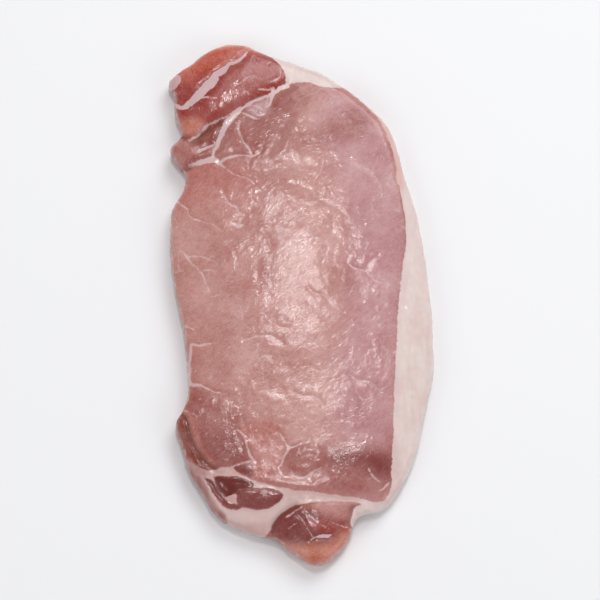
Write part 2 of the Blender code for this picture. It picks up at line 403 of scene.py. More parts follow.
FAT_SEAMS = tuple(Seam(route) for route in (
    ((-13.9, 68.4, 0.2), (-15.6, 66.4, 0.35), (-17, 65.2, 0.5), (-19.4, 64.3, 0.5), (-20.8, 62.6, 0.95),
     (-22.8, 61.4, 0.9), (-23.6, 59.6, 1.35), (-25.4, 58, 1.3), (-27.2, 56, 1.25), (-29, 54.2, 0.95),
     (-30.6, 52.8, 0.75), (-31.7, 52.3, 0.55), (-33.2, 53.2, 0.35), (-34.9, 53.5, 0.35)),
    ((-29.6, 43.9, 0.6), (-28.2, 44.6, 0.4), (-26.5, 46, 0.3), (-24.6, 47.7, 0.25), (-22.3, 48.9, 0.2),
     (-19.8, 49.9, 0.2), (-17.6, 51.3, 0.25), (-16, 52.6, 0.3)),
    ((-3.2, 58.7, 0.6), (-6, 57.4, 0.6), (-8.6, 55.9, 0.35), (-11.4, 54.6, 0.35), (-14.2, 53.3, 0.4),
     (-16.2, 51.6, 0.55), (-18.4, 49.6, 0.85), (-20.2, 47.3, 0.85), (-21.3, 44.8, 0.65),
     (-22.2, 42.2, 0.6), (-23.2, 40.2, 0.45), (-23.4, 38.4, 0.6)),
    ((-7.3, 57.2, 0.5), (-7.6, 55.4, 0.5), (-7.8, 53.9, 0.3)),
    ((-22.4, 42.3, 0.25), (-24.6, 41.6, 0.3), (-26, 40.9, 0.35), (-27.4, 40.1, 0.4)),
    ((-29.6, 36.2, 0.4), (-27.6, 37, 0.65), (-25.4, 37.7, 0.75), (-23.2, 38, 0.9), (-21.6, 37, 0.55)),
    ((-28.7, -47.2, 0.45), (-26.4, -46.9, 0.5), (-24.2, -46.8, 0.5), (-22, -46.4, 0.7)),
    ((2.6, -64.4, 0.15), (4, -63.8, 0.25), (5.6, -63.4, 0.35), (7, -63.5, 0.5), (8.2, -63, 0.2)),
))

VEINS = tuple(Seam(route) for route in (
    ((-26.8, 55, 0.3), (-24.6, 54.9, 0.25), (-22.4, 54.7, 0.15)),
    ((-21.6, 37, 0.45), (-20.2, 37.9, 0.35), (-18.2, 38.8, 0.3), (-15.4, 38.9, 0.25), (-12.9, 38.8, 0.4),
     (-11.4, 39.4, 0.2), (-10, 40.9, 0.12)),
    ((-21.4, 36.8, 0.35), (-19.6, 35.2, 0.2), (-18, 34, 0.2), (-16, 33.2, 0.1), (-13.6, 32.2, 0.16),
     (-12.4, 30.8, 0.1)),
    ((-12.9, 38.8, 0.2), (-13.7, 37, 0.12), (-14, 35.2, 0.1)),
    ((-16.4, 48.6, 0.3), (-16.6, 46.4, 0.3), (-15.8, 44.2, 0.25), (-15.1, 42.4, 0.3), (-13.6, 40.8, 0.35),
     (-12.9, 39, 0.35)),
    ((-18, 58, 0.12), (-16.8, 58.6, 0.16), (-15.6, 59.3, 0.12), (-13.8, 60.8, 0.16), (-12.6, 61.1, 0.1)),
    ((-11.2, 57.3, 0.2), (-9, 57.4, 0.25), (-7.2, 57.9, 0.3)),
    ((-7.9, 59.6, 0.2), (-6.6, 60, 0.35), (-5.4, 61.2, 0.2), (-5.5, 63.4, 0.15)),
    ((-9, 64.6, 0.12), (-8, 65.3, 0.18)),
    ((-15.4, 50.8, 0.25), (-13.6, 50, 0.3), (-12.1, 49.2, 0.3), (-10.8, 49.1, 0.1)),
    ((-12.7, 53.1, 0.16), (-11.6, 52.6, 0.3), (-10.3, 51.8, 0.3), (-9.1, 51.4, 0.12)),
    ((-12, 50.6, 0.14), (-11, 50, 0.3), (-9.8, 50.4, 0.22), (-9, 51.4, 0.1)),
    ((-14, 51.5, 0.12), (-12.9, 51.8, 0.22), (-12, 51.2, 0.16), (-11.4, 51.9, 0.1)),
    ((-7.9, 53.8, 0.3), (-8.6, 52.8, 0.2), (-9.6, 52.6, 0.1)),
    ((-20.7, 29.4, 0.12), (-20.4, 28, 0.2), (-19.8, 26.6, 0.25), (-18.6, 25.3, 0.3), (-17, 24.7, 0.3),
     (-16.4, 23.4, 0.3), (-14.9, 22.4, 0.2)),
    ((-32.6, 26.4, 0.25), (-31.2, 25.1, 0.3), (-30.2, 24.2, 0.3), (-29.8, 22.8, 0.25), (-28.8, 21.6, 0.2),
     (-27, 21.1, 0.2), (-25.4, 20.7, 0.12), (-22.6, 19.6, 0.1), (-20.2, 17.6, 0.1)),
    ((-17.6, 19.9, 0.4), (-16.4, 19.5, 0.6), (-15.2, 19.8, 0.3)),
    ((-31.4, 13, 0.12), (-30.4, 11.5, 0.3), (-29.9, 10.7, 0.3), (-28.2, 8.8, 0.2), (-26.4, 6.9, 0.2),
     (-25.5, 5, 0.2), (-24.9, 3.2, 0.2), (-24, 1.7, 0.25)),
    ((-30, 11.2, 0.2), (-27.6, 11.2, 0.2), (-25.2, 10.9, 0.16), (-23.4, 9.8, 0.12), (-21.8, 9.2, 0.2)),
    ((-26.2, 7.3, 0.1), (-24.2, 7.4, 0.12), (-22, 7.2, 0.12)),
    ((-30.4, -7.2, 0.25), (-28.8, -8.2, 0.25), (-27.8, -8.6, 0.12)),
    ((-29, -12.2, 0.25), (-27, -12.8, 0.25), (-25.2, -12.5, 0.25), (-23.4, -12.4, 0.2)),
    ((-29, -12.4, 0.35), (-29, -15, 0.4), (-29.2, -18, 0.4), (-29.1, -21, 0.5), (-28.7, -23.2, 0.55),
     (-27.2, -23.5, 0.4), (-25.6, -23.7, 0.3), (-24.2, -24.6, 0.25), (-22.6, -25.4, 0.2),
     (-20.8, -25.6, 0.16), (-19.2, -25.9, 0.1)),
    ((-14.8, -11.8, 0.2), (-13.2, -11, 0.25), (-11.4, -10.5, 0.25), (-9.4, -10.4, 0.2),
     (-7.4, -10.7, 0.25), (-5.8, -11.7, 0.25), (-4.6, -12.4, 0.16)),
    ((-11.3, -17.9, 0.12), (-10.2, -16.4, 0.2), (-9, -15.8, 0.25), (-7.6, -15.9, 0.25)),
    ((-16.8, -35.2, 0.15), (-15.4, -36.2, 0.2), (-14.6, -37.4, 0.2), (-14.2, -39.2, 0.2),
     (-13.6, -41, 0.3), (-12.6, -42.8, 0.35), (-11.6, -44.2, 0.3)),
    ((-18.2, -45.4, 0.4), (-16.6, -44.7, 0.25), (-14.8, -44, 0.2), (-12.9, -43.7, 0.3)),
    ((-6.2, -35.7, 0.15), (-5, -36.7, 0.2), (-4.3, -37.9, 0.3), (-3.6, -39.4, 0.25), (-2.8, -40.3, 0.35),
     (-3.6, -41.6, 0.25), (-4.5, -42.9, 0.2), (-4.9, -44.6, 0.2), (-5.8, -45.4, 0.12)),
    ((-2.8, -40.3, 0.25), (-1.4, -39.9, 0.12), (0.6, -39.3, 0.12), (2.2, -38.6, 0.12), (2.4, -37.6, 0.2)),
    ((-2.3, -46.3, 0.2), (-1.9, -47.2, 0.3), (-0.6, -47.9, 0.3), (0.8, -48, 0.3), (1.8, -47.6, 0.3),
     (3.2, -46.8, 0.2), (4.6, -46, 0.16), (5.8, -45.2, 0.12)),
    ((1.8, -47.7, 0.2), (2.4, -48.5, 0.16), (3, -49.2, 0.16)),
    ((-5.6, -45.6, 0.15), (-4.9, -46.9, 0.25), (-4, -47.7, 0.25), (-3.1, -47.9, 0.16)),
    ((18.1, -45.6, 0.2), (18.8, -47, 0.25), (20, -48.2, 0.2), (21.4, -49.3, 0.12)),
    ((20.8, -51.6, 0.2), (21.8, -51.2, 0.25), (23, -50.2, 0.25), (23.6, -49.4, 0.12)),
    ((-10.2, 18.2, 0.12), (-8.6, 16, 0.16), (-7.7, 14.2, 0.12)),
    ((-3.6, -58.4, 0.2), (-2.2, -57.6, 0.25), (-1, -56.8, 0.2), (0.4, -55.8, 0.16)),
    ((-3, -61.6, 0.12), (-2, -60.6, 0.15), (-0.9, -60.2, 0.12)),
    ((-0.6, -57.6, 0.1), (0.8, -59.6, 0.16), (2.2, -61.8, 0.14), (3.2, -64, 0.16)),
    ((1.6, -57, 0.12), (3.4, -58.9, 0.2), (5.4, -60.5, 0.16), (7.8, -61.7, 0.12)),
    ((8.6, -60, 0.1), (10.2, -60.8, 0.16), (12.6, -61.4, 0.2)),
    ((-3, 31.6, 0.1), (0.4, 30.6, 0.18), (3.4, 29, 0.2), (5.6, 26.6, 0.14), (8.6, 25.4, 0.16),
     (11.8, 22.8, 0.1)),
    ((3.4, 29, 0.16), (3.8, 32, 0.12), (5.6, 34.4, 0.14), (6, 37, 0.08)),
    ((13.6, 38.2, 0.1), (15.6, 36.2, 0.16), (18.8, 35, 0.16), (21, 32.6, 0.1)),
    ((12.4, 9.6, 0.1), (14.4, 8, 0.18), (17.6, 7.2, 0.2), (19.6, 5, 0.16), (22.8, 3.6, 0.1)),
    ((17.6, 7.2, 0.16), (18.6, 9.8, 0.1), (21, 11.6, 0.12)),
    ((1.6, 3.4, 0.1), (3.6, 1.2, 0.16), (6.4, 0.4, 0.16), (8, -1.8, 0.1)),
    ((13, -20.6, 0.1), (15.2, -22.2, 0.18), (18.6, -22.8, 0.2), (21.4, -25.2, 0.12)),
    ((15.2, -22.2, 0.16), (14.8, -25, 0.12), (16.6, -27.6, 0.1)),
    ((-1.6, -25.4, 0.1), (0.8, -26.6, 0.14), (3.6, -26.4, 0.16), (6.2, -28.6, 0.1)),
))

GROOVES = tuple(Seam(route) for route in (
    ((-32, -30.3, 0.1), (-30.3, -31.9, 0.2), (-29.3, -34.8, 0.25), (-28.2, -38.4, 0.25),
     (-26.6, -41.5, 0.3), (-24.6, -44.1, 0.3), (-22.4, -45.7, 0.12)),
    ((-35, 43.4, 0.3), (-32, 44.4, 0.35), (-29.9, 44.2, 0.2)),
    ((-27.8, 43.9, 0.1), (-25.9, 45.5, 0.2), (-23.9, 47.2, 0.2), (-21.6, 48.4, 0.1)),
    ((-34, 34.4, 0.3), (-30.8, 35, 0.3), (-29.4, 36, 0.2)),
    ((-25.2, -47.9, 0.15), (-23.4, -49.6, 0.25), (-21.6, -52.2, 0.2), (-20.2, -53.8, 0.15)),
    ((-7.4, -62.6, 0.15), (-6.6, -59.8, 0.2), (-4, -57.2, 0.2), (-1, -55.6, 0.15)),
))


@dataclass(frozen=True)
class Tissue:
    """What the cut shows at each of the skin's points: depths in millimetres, and colours."""

    body: Array
    seams: Array
    veins: Array
    grooves: Array
    swell: Array
    lean_colour: Array
    fat_colour: Array
    grain: Array
    marbling: Array
    fat_sink: float = 0.24
    fat_edge: Place = (-1.1, 1.0)
    line_sinks: tuple[Place, ...] = ((0.34, 0.8), (0.08, 0.45), (0.8, 0.55))

    def relief(self) -> Array:
        """Work out the face's relief.

        Returns:
            How far the face stands up at each point, in millimetres.
        """
        height = self.swell - self.fat_sink * smooth_step(self.body, *self.fat_edge)
        for depth, (sink, spread) in zip((self.seams, self.veins, self.grooves), self.line_sinks):
            height -= sink * np.exp(-((np.clip(-depth, 0.0, None) / spread) ** 2))
        return height


@dataclass(frozen=True)
class CutFace:
    """The map of the cut: which tissue lies where on the face. Sizes are in millimetres.

    The warp and the drift each have swells across the chop, then along it.
    """

    muscles: tuple[Zone, ...]
    fat_zones: tuple[Zone, ...]
    fat_bodies: tuple[Patch, ...]
    nodules: tuple[Patch, ...]
    seams: tuple[Seam, ...]
    veins: tuple[Seam, ...]
    grooves: tuple[Seam, ...]
    warp: float = 0.26
    knots: float = 0.26
    cut_height: float = 8.0
    slant: Place = (0.16, -0.12)
    drift: float = 0.55
    warp_swells: tuple[tuple[Triple, ...], ...] = (
        ((2.6, 1.0, 1.0), (1.1, 3.0, 0.5)), ((2.6, 2.0, 1.0), (1.1, 4.0, 0.5)),
    )
    drift_swells: tuple[tuple[Triple, ...], ...] = (
        ((15.0, 7.0, 1.0), (4.5, 7.0, 0.3)), ((15.0, 8.0, 1.0), (4.5, 8.0, 0.3)),
    )
    turn: float = 38.0
    swell_edge: Place = (-0.6, 2.6)
    marbling_edge: Place = (-0.3, 0.3)
    nodule_taper: float = 0.16

    def read(self, places: Array) -> Tissue:
        """Look up the tissue at each place.

        Args:
            places: Rows of x, y and z in millimetres.

        Returns:
            The tissue there. Small shifts keep every edge from being perfectly smooth.
        """
        sunk = np.clip(self.cut_height - places[:, 2], 0.0, None)
        on_face = self.warped(places, sunk)
        depths = [muscle.depth(on_face) for muscle in self.muscles]
        body = deepest(self.fat_bodies, on_face)
        swell, marbling = np.zeros(len(places)), np.ones(len(places))
        turn = np.full(len(places), math.radians(self.turn))
        for muscle, depth in zip(self.muscles, depths):
            swell += muscle.swell * smooth_step(depth, *self.swell_edge)
            if muscle.turn is not None:
                turn[depth > 0] = math.radians(muscle.turn)
            if muscle.marbling is not None:
                share = smooth_step(depth, *self.marbling_edge)
                marbling += share * (muscle.marbling - marbling)
            if muscle.in_fat:
                body = np.minimum(body, -depth)
        along = on_face[:, 0] * np.cos(turn) + on_face[:, 1] * np.sin(turn)
        across = on_face[:, 1] * np.cos(turn) - on_face[:, 0] * np.sin(turn)
        fat_depths = [zone.depth(on_face) for zone in self.fat_zones]
        ragged = ripple(places, (2.6, 9.0, 0.7)) - self.nodule_taper * sunk
        return Tissue(
            body=np.maximum(body, deepest(self.nodules, on_face) + ragged),
            seams=deepest(self.seams, on_face) + ripple(places, (1.9, 5.0, self.knots)),
            veins=deepest(self.veins, on_face) + ripple(places, (1.4, 6.0, 0.6 * self.knots)),
            grooves=deepest(self.grooves, on_face),
            swell=swell,
            lean_colour=layered_colour(Tone.PALE, self.muscles, depths),
            fat_colour=layered_colour(Tone.SINEW, self.fat_zones, fat_depths),
            grain=np.column_stack([along, across, places[:, 2]]),
            marbling=marbling,
        )

    def warped(self, places: Array, sunk: Array) -> Array:
        """Shift places a little, and more with their depth under the cut face.

        Args:
            places: Rows of x, y and z in millimetres.
            sunk: How deep under the cut face each place lies.

        Returns:
            Rows of x and y.
        """
        shift, wander = (
            np.column_stack([ripple(places, *swells) for swells in both])
            for both in (self.warp_swells, self.drift_swells)
        )
        lean = np.array(self.slant) + self.drift * wander
        return places[:, :2] + self.warp * shift + sunk[:, None] * lean


def deepest(shapes: tuple[Patch | Seam, ...], places: Array) -> Array:
    """Return how deep inside the nearest of the shapes each place lies."""
    return np.max([shape.depth(places) for shape in shapes], axis=0)


def layered_colour(ground: Tone, zones: tuple[Zone, ...], depths: list[Array]) -> Array:
    """Paint zones over a ground colour, each one over those before it.

    Args:
        ground: The colour where there is no zone.
        zones: The zones, in their order.
        depths: For each zone, how deep inside it each place lies.

    Returns:
        A linear colour for each place.
    """
    colour = np.tile(np.array(linear_colour(ground.value)), (len(depths[0]), 1))
    for zone, depth in zip(zones, depths):
        colour += zone.share(depth)[:, None] * (np.array(linear_colour(zone.tone.value)) - colour)
    return colour


@dataclass
class ChopSkin:
    """The chop's fine skin: one closed mesh with relief and the marks of its tissues.

    Sizes are in millimetres. A swell is its length, its seed and its height.
    """

    node: str
    cut: CutFace
    voxel: float = 0.75
    edge_ruggedness: float = 0.36
    face_unevenness: float = 0.24
    face_swells: tuple[Triple, ...] = ((15.0, 11.0, 1.0), (5.0, 12.0, 0.32), (1.7, 13.0, 0.12))
    edge_swells: tuple[Triple, ...] = ((6.0, 21.0, 1.0), (2.4, 22.0, 0.5))
    edge_strands: Triple = (1.0, 23.0, 0.35)
    strand_stretch: Triple = (1.0, 1.0, 0.3)
    upward_edge: Place = (0.15, 0.75)
    wall_edge: Place = (0.75, 0.3)
    underside_normal: float = -0.6
    wall_normal: float = 0.3
    face_calm: float = 0.7

    def build(self) -> Object:
        """Grow, sculpt and mark the skin.

        Returns:
            The finished piece, still without its material.
        """
        piece = self.copy_of_node()
        self.remesh(piece)
        self.refine(piece)
        places, normals = points_and_normals(piece.data)
        tissue = self.cut.read(places)
        self.sculpt(piece.data, places, normals, tissue.relief())
        wall = smooth_step(np.abs(normals[:, 2]), *self.wall_edge)
        is_wall = np.abs(normals[:, 2]) < self.wall_normal
        self.mark(piece.data, tissue, distance_to(places[is_wall], places), wall)
        piece.data.shade_smooth()
        return piece

    def copy_of_node(self) -> Object:
        """Copy the CAD node and merge the copy's loose triangles.

        Returns:
            The copy, selected and active.
        """
        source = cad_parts[self.node]
        bpy.ops.object.select_all(action="DESELECT")
        piece = bpy.data.objects.new("pork_chop_meat", source.data.copy())
        bpy.context.collection.objects.link(piece)
        piece.select_set(True)
        bpy.context.view_layer.objects.active = piece
        piece.data.materials.clear()
        bpy.ops.object.mode_set(mode="EDIT")
        bpy.ops.mesh.select_all(action="SELECT")
        bpy.ops.mesh.remove_doubles(threshold=1e-6)
        bpy.ops.mesh.normals_make_consistent(inside=False)
        bpy.ops.object.mode_set(mode="OBJECT")
        return piece

    def remesh(self, piece: Object) -> None:
        """Give the skin an even mesh of small squares.

        Args:
            piece: The skin, active.
        """
        skin = piece.modifiers.new("even_skin", "REMESH")
        skin.mode = "VOXEL"
        skin.voxel_size = self.voxel * MM
        bpy.ops.object.modifier_apply(modifier=skin.name)

    def refine(self, piece: Object) -> None:
        """Split the faces that show, all but the underside's, and smooth them.

        Args:
            piece: The skin, active.
        """
        mesh = piece.data
        bpy.ops.object.mode_set(mode="EDIT")
        bpy.ops.mesh.select_mode(type="FACE")
        bpy.ops.mesh.select_all(action="DESELECT")
        bpy.ops.object.mode_set(mode="OBJECT")
        shown = [face.normal.z > self.underside_normal for face in mesh.polygons]
        mesh.polygons.foreach_set("select", shown)
        bpy.ops.object.mode_set(mode="EDIT")
        bpy.ops.mesh.subdivide(number_cuts=1)
        bpy.ops.mesh.vertices_smooth(factor=0.5, repeat=4)
        bpy.ops.object.mode_set(mode="OBJECT")

    def sculpt(self, mesh: Mesh, places: Array, normals: Array, relief: Array) -> None:
        """Move the skin's points: relief on the face, ruggedness round the edge.

        Args:
            mesh: The skin's mesh.
            places: The points' places, in millimetres.
            normals: The points' normals.
            relief: How far the cut face stands up at each point, in millimetres.
        """
        upward = smooth_step(normals[:, 2], *self.upward_edge)
        sideways = np.hypot(normals[:, 0], normals[:, 1])
        uneven = ripple(places, *self.face_swells)
        rugged = ripple(places, *self.edge_swells)
        rugged += ripple(places * np.array(self.strand_stretch), self.edge_strands)
        outward = self.edge_ruggedness * rugged * sideways * (1 - self.face_calm * upward)
        moved = places + normals * outward[:, None]
        moved[:, 2] += (relief + self.face_unevenness * uneven) * upward
        moved[:, 2] = np.maximum(moved[:, 2], 0.0)
        mesh.vertices.foreach_set("co", (moved * MM).astype(np.float32).ravel())
        mesh.update()

    def mark(self, mesh: Mesh, tissue: Tissue, rim: Array, wall: Array) -> None:
        """Store on each point what tissue it is, for the material to read.

        Args:
            mesh: The skin's mesh.
            tissue: The tissue at each point.
            rim: How far in from the outline each point is, in millimetres.
            wall: From 0 on the cut faces to 1 on the chop's sides.
        """
        kinds = {1: ("FLOAT", "value"), 3: ("FLOAT_VECTOR", "vector"), 4: ("FLOAT_COLOR", "color")}
        for name, values in (
            ("fat_depth", np.maximum(tissue.body, tissue.seams)), ("body_depth", tissue.body),
            ("vein_depth", tissue.veins), ("groove_depth", tissue.grooves),
            ("lean_colour", tissue.lean_colour), ("fat_colour", tissue.fat_colour),
            ("grain", tissue.grain), ("marbling", tissue.marbling),
            ("rim_distance", rim), ("wall", wall),
        ):
            kind, field = kinds[values.size // len(values)]
            attribute = mesh.attributes.new(name, kind, "POINT")
            attribute.data.foreach_set(field, values.astype(np.float32).ravel())


def points_and_normals(mesh: Mesh) -> tuple[Array, Array]:
    """Read a mesh's points, in millimetres, and its normals.

    Args:
        mesh: The mesh to read.

    Returns:
        Rows of x, y and z for the points, and for the normals.
    """
    points, normals = (np.empty(len(mesh.vertices) * 3, np.float32) for _ in range(2))
    mesh.vertices.foreach_get("co", points)
    mesh.vertices.foreach_get("normal", normals)
    return points.reshape(-1, 3).astype(float) / MM, normals.reshape(-1, 3).astype(float)


def distance_to(wall: Array, places: Array) -> Array:
    """Measure how far places are from the wall, seen from above.

    Args:
        wall: The wall's points, as rows of x, y and z.
        places: Rows of x, y and z.

    Returns:
        Each place's distance to the nearest of the wall's points.
    """
    tree = kdtree.KDTree(len(wall))
    for index, (x, y, _z) in enumerate(wall.tolist()):
        tree.insert((x, y, 0.0), index)
    tree.balance()
    return np.array([tree.find((x, y, 0.0))[2] for x, y, _z in places.tolist()])


def add_node(tree: Tree, kind: str, inputs: Inputs, output: str | int = 0, **settings: object) -> Socket:
    """Add a shader node with its settings, and its inputs' values or links.

    Args:
        tree: The node tree.
        kind: The node's type, without the ShaderNode before it.
        inputs: Values or other nodes' outputs, by the input's name or place, or in order.
        output: The output that is wanted.
        settings: The node's own settings, by name.

    Returns:
        That output.
    """
    node = tree.nodes.new("ShaderNode" + kind)
    for name, value in settings.items():
        setattr(node, name, value)
    for name, value in inputs.items() if isinstance(inputs, dict) else enumerate(inputs):
        if isinstance(value, Socket):
            tree.links.new(value, node.inputs[name])
        else:
            node.inputs[name].default_value = value
    return node.outputs[output]


def painted(add: Adder, ground: Socket, *coats: tuple[Socket, Socket | str]) -> Socket:
    """Lay coats of colour over a ground, each one over those before it.

    Args:
        add: Adds a node.
        ground: The colour below.
        coats: The share and the colour of each coat, the colour as an output or as hex.

    Returns:
        The colour that shows.
    """
    for share, colour in coats:
        over = linear_colour(colour) if isinstance(colour, str) else colour
        ground = add("Mix", {0: share, 6: ground, 7: over}, 2, data_type="RGBA")
    return ground


def summed(add: Adder, start: Socket, *parts: tuple[Socket, float]) -> Socket:
    """Add weighted values to a first one.

    Args:
        add: Adds a node.
        start: The first value.
        parts: Each other value and its weight.

    Returns:
        The sum.
    """
    for source, weight in parts:
        start = add("Math", (source, weight, start), operation="MULTIPLY_ADD")
    return start


@dataclass(frozen=True)
class Marbling:
    """One kind of marbling: strokes along the grain that crowd in places. Sizes are in mm."""

    feature: str
    length: float
    width: float
    depth_step: float
    sway: float
    thickness: Place
    raggedness: float
    crowd_scale: float
    crowd_detail: float
    crowd: Place
    most: Place

    def share(self, add: Adder, place: Socket, grain: Socket, bent: Socket, ragged: Socket) -> Socket:
        """Return how much of this marbling shows.

        Args:
            add: Adds a node.
            place: The surface's place.
            grain: The place along the grain.
            bent: The noise that bends the strokes.
            ragged: The noise that makes them thick and thin.

        Returns:
            The share, from 0 to 1.
        """
        sway = (self.sway, self.sway, 0.0)
        swayed = add("VectorMath", (bent, sway, grain), operation="MULTIPLY_ADD")
        steps = (1 / self.length, 1 / self.width, self.depth_step)
        stretched = add("VectorMath", (swayed, steps), operation="MULTIPLY")
        cells = add("TexVoronoi", {"Vector": stretched, "Scale": 1.0}, feature=self.feature)
        uneven = summed(add, cells, (ragged, self.raggedness / self.width))
        outer, inner = (size / self.width for size in self.thickness)
        stroke = add("MapRange", (uneven, outer, inner), **SMOOTH)
        crowd = add("TexNoise", {"Vector": place, "Scale": self.crowd_scale, "Detail": self.crowd_detail})
        crowded = add("MapRange", (crowd, *self.crowd, *self.most), **SMOOTH)
        return add("Math", (stroke, crowded), operation="MULTIPLY")


@dataclass(frozen=True)
class RawPorkFinish:
    """Raw pork, freshly sliced: moist lean with pale, waxy fat, cut across the grain.

    A thin film of juice on the cut gives a soft, broken sheen. Light enters the flesh a few
    millimetres deep, so that edges and thin places glow warm; that glow is also painted into the
    colour near the outline, and painted shade darkens the sides and, with pooled juice, the
    grooves. Sizes are in millimetres.
    """

    vein: str = "#d2b4b3"
    blush: str = "#cfa7a4"
    # Painted glow: a lighter warm colour near the outline, standing in for light coming through the thin
    # edges.
    painted_rim_glow: str = "#d39480"
    # Painted shade: a darker red laid on the chop's steep sides.
    outside: str = "#a8645c"
    # Painted shade and pooled juice: a dark red laid along the grooves.
    groove_shade_and_juice: str = "#6a2e2a"
    bundle_size: Place = (1.65, 1.1)
    fibre_size: Place = (1.6, 0.3)
    lobule_width: float = 1.7
    mottles_per_mm: float = 0.1
    specks_per_mm: float = 1.9
    bends_per_mm: float = 0.3
    rags_per_mm: float = 0.9
    clouds_per_mm: float = 0.2
    frays_per_mm: float = 1.3
    beads_per_mm: float = 0.45
    bump_height: float = 0.12
    film_height: float = 0.24
    light_depth: float = 1.6
    # A wide web and a fine one, then short flecks.
    marblings: tuple[Marbling, ...] = (
        *(
            Marbling("DISTANCE_TO_EDGE", width / 0.55, width, 0.04, 4.0, (0.5, 0.28), 0.7,
                     0.8 / width, 2.0, (0.48, 0.66), (0.0, most))
            for width, most in ((7.0, 0.55), (3.4, 0.22))
        ),
        Marbling("F1", 2.6, 0.9, 0.3, 2.5, (0.594, 0.432), 0.81, 0.16, 3.0, (0.42, 0.64),
                 (0.06, 0.5)),
    )

    def build(self) -> bpy.types.Material:
        """Make the material.

        Returns:
            A material that reads the skin's marks.
        """
        material = bpy.data.materials.new("raw_pork_cut_face")
        material.use_nodes = True
        tree = material.node_tree
        tree.nodes.clear()
        add = partial(add_node, tree)
        own_place = add("TexCoord", {}, "Object")
        place = add("VectorMath", {0: own_place, "Scale": 1 / MM}, operation="SCALE")
        lean, lean_height = self.lean(add, place)
        fat, fat_height = self.fat(add, place)
        fray, juice = (
            add("TexNoise", {"Vector": place, "Scale": scale, "Detail": 4.0, "Roughness": rough})
            for scale, rough in ((self.frays_per_mm, 0.65), (self.beads_per_mm, 0.56))
        )
        fat_share = self.share(add, "fat_depth", fray, 0.9, (-0.1, 0.14), 1.0)
        vein_share = self.share(add, "vein_depth", fray, 0.6, (-0.16, 0.2), 0.75)
        # The grooves' dark red is painted crevice shade, together with juice pooled there.
        groove_shade_and_juice_share = self.share(add, "groove_depth", fray, 0.4, (-0.5, 0.35), 0.7)
        height = add("Mix", {0: fat_share, 2: lean_height, 3: fat_height})
        relief, film = (
            add("Bump", {"Strength": 0.5, "Distance": reach * MM, "Height": source})
            for reach, source in (
                (self.bump_height, height), (self.film_height, summed(add, juice, (height, 0.12))),
            )
        )
        wet = add("MapRange", (juice, 0.35, 0.65, 0.32, 0.5))
        shader = add("BsdfPrincipled", {
            "Base Color": painted(
                add, lean, (vein_share, self.vein), (fat_share, fat), (groove_shade_and_juice_share, self.groove_shade_and_juice)
            ),
            "Roughness": add("Mix", {0: fat_share, 2: wet, 3: 0.5}),
            "IOR": 1.38, "Normal": relief, "Subsurface Weight": 0.25,
            "Subsurface Radius": (1.0, 0.38, 0.26), "Subsurface Scale": self.light_depth * MM,
            "Coat Weight": 0.65, "Coat Roughness": 0.13, "Coat IOR": 1.36, "Coat Normal": film,
        })
        tree.links.new(shader, tree.nodes.new("ShaderNodeOutputMaterial").inputs["Surface"])
        return material

    def share(
        self, add: Adder, mark: str, fray: Socket, reach: float, edge: Place, most: float
    ) -> Socket:
        """Turn one of the skin's depths into a share of its tissue.

        Args:
            add: Adds a node.
            mark: The attribute that holds the depth.
            fray: The noise that frays the tissue's edge.
            reach: How far the edge frays.
            edge: The depths at which the tissue starts and is full.
            most: The share where it is full.

        Returns:
            The share, from 0 to most.
        """
        depth = add("Attribute", {}, "Fac", attribute_name=mark)
        shift = add("MapRange", {0: fray, 3: -reach / 2, 4: reach / 2})
        uneven = add("Math", (depth, shift), operation="ADD")
        return add("MapRange", (uneven, *edge, 0.0, most), **SMOOTH)

    def lean(self, add: Adder, place: Socket) -> tuple[Socket, Socket]:
        """Colour the lean: softly mottled, in bundles of fibres, with faint marbling, painted glow and
        shade.

        Args:
            add: Adds a node.
            place: The surface's place.

        Returns:
            The lean's colour and its height.
        """
        tone = add("Attribute", {}, "Color", attribute_name="lean_colour")
        grain = add("Attribute", {}, "Vector", attribute_name="grain")
        wall, rim, fatness = (
            add("Attribute", {}, "Fac", attribute_name=mark)
            for mark in ("wall", "rim_distance", "marbling")
        )
        along_fibres, along_bundles = (
            add("VectorMath", (grain, (1 / length, 1 / width, 0.5)), operation="MULTIPLY")
            for length, width in (self.fibre_size, self.bundle_size)
        )
        upright, along_sheath = (
            add("VectorMath", (place, steps), operation="MULTIPLY")
            for steps in ((1.6, 1.6, 0.16), (0.5, 0.5, 0.2))
        )
        fibre, side_fibre = (
            add("TexNoise", {"Vector": steps, "Scale": 1.0}) for steps in (along_fibres, upright)
        )
        strand = add("Mix", {0: wall, 2: fibre, 3: side_fibre})
        hollow = add("TexVoronoi", {"Vector": along_bundles, "Scale": 1.0})
        bundle = hollow.node.outputs["Color"]
        mottle = add("TexNoise", {"Vector": place, "Scale": self.mottles_per_mm})
        speck = add("TexNoise", {"Vector": place, "Scale": self.specks_per_mm, "Roughness": 0.6})
        lighter = summed(add, mottle, (strand, 0.3), (bundle, 0.13), (hollow, 0.16), (speck, 0.55))
        value, richness = (
            add("MapRange", (lighter, 0.76, 1.34, *reach)) for reach in ((0.82, 1.18), (1.22, 0.88))
        )
        shaded = add("HueSaturation", {"Color": tone, "Value": value, "Saturation": richness})
        bent, ragged = (
            add("TexNoise", {"Vector": place, "Scale": scale, "Detail": 3.0}, output)
            for scale, output in ((self.bends_per_mm, "Color"), (self.rags_per_mm, "Fac"))
        )
        # Painted glow: lean within about 2 mm of the outline is lightened towards a warm colour, as if lit
        # through the thin edge.
        glow = add("MapRange", (rim, 0.2, 2.0, 0.16, 0.0), **SMOOTH)
        sheath = add("TexNoise", {"Vector": along_sheath, "Scale": 1.0, "Detail": 4.0, "Roughness": 0.6})
        patches = add("MapRange", (sheath, 0.48, 0.66, 0.0, 0.42), **SMOOTH)
        shares = [kind.share(add, place, grain, bent, ragged) for kind in self.marblings]
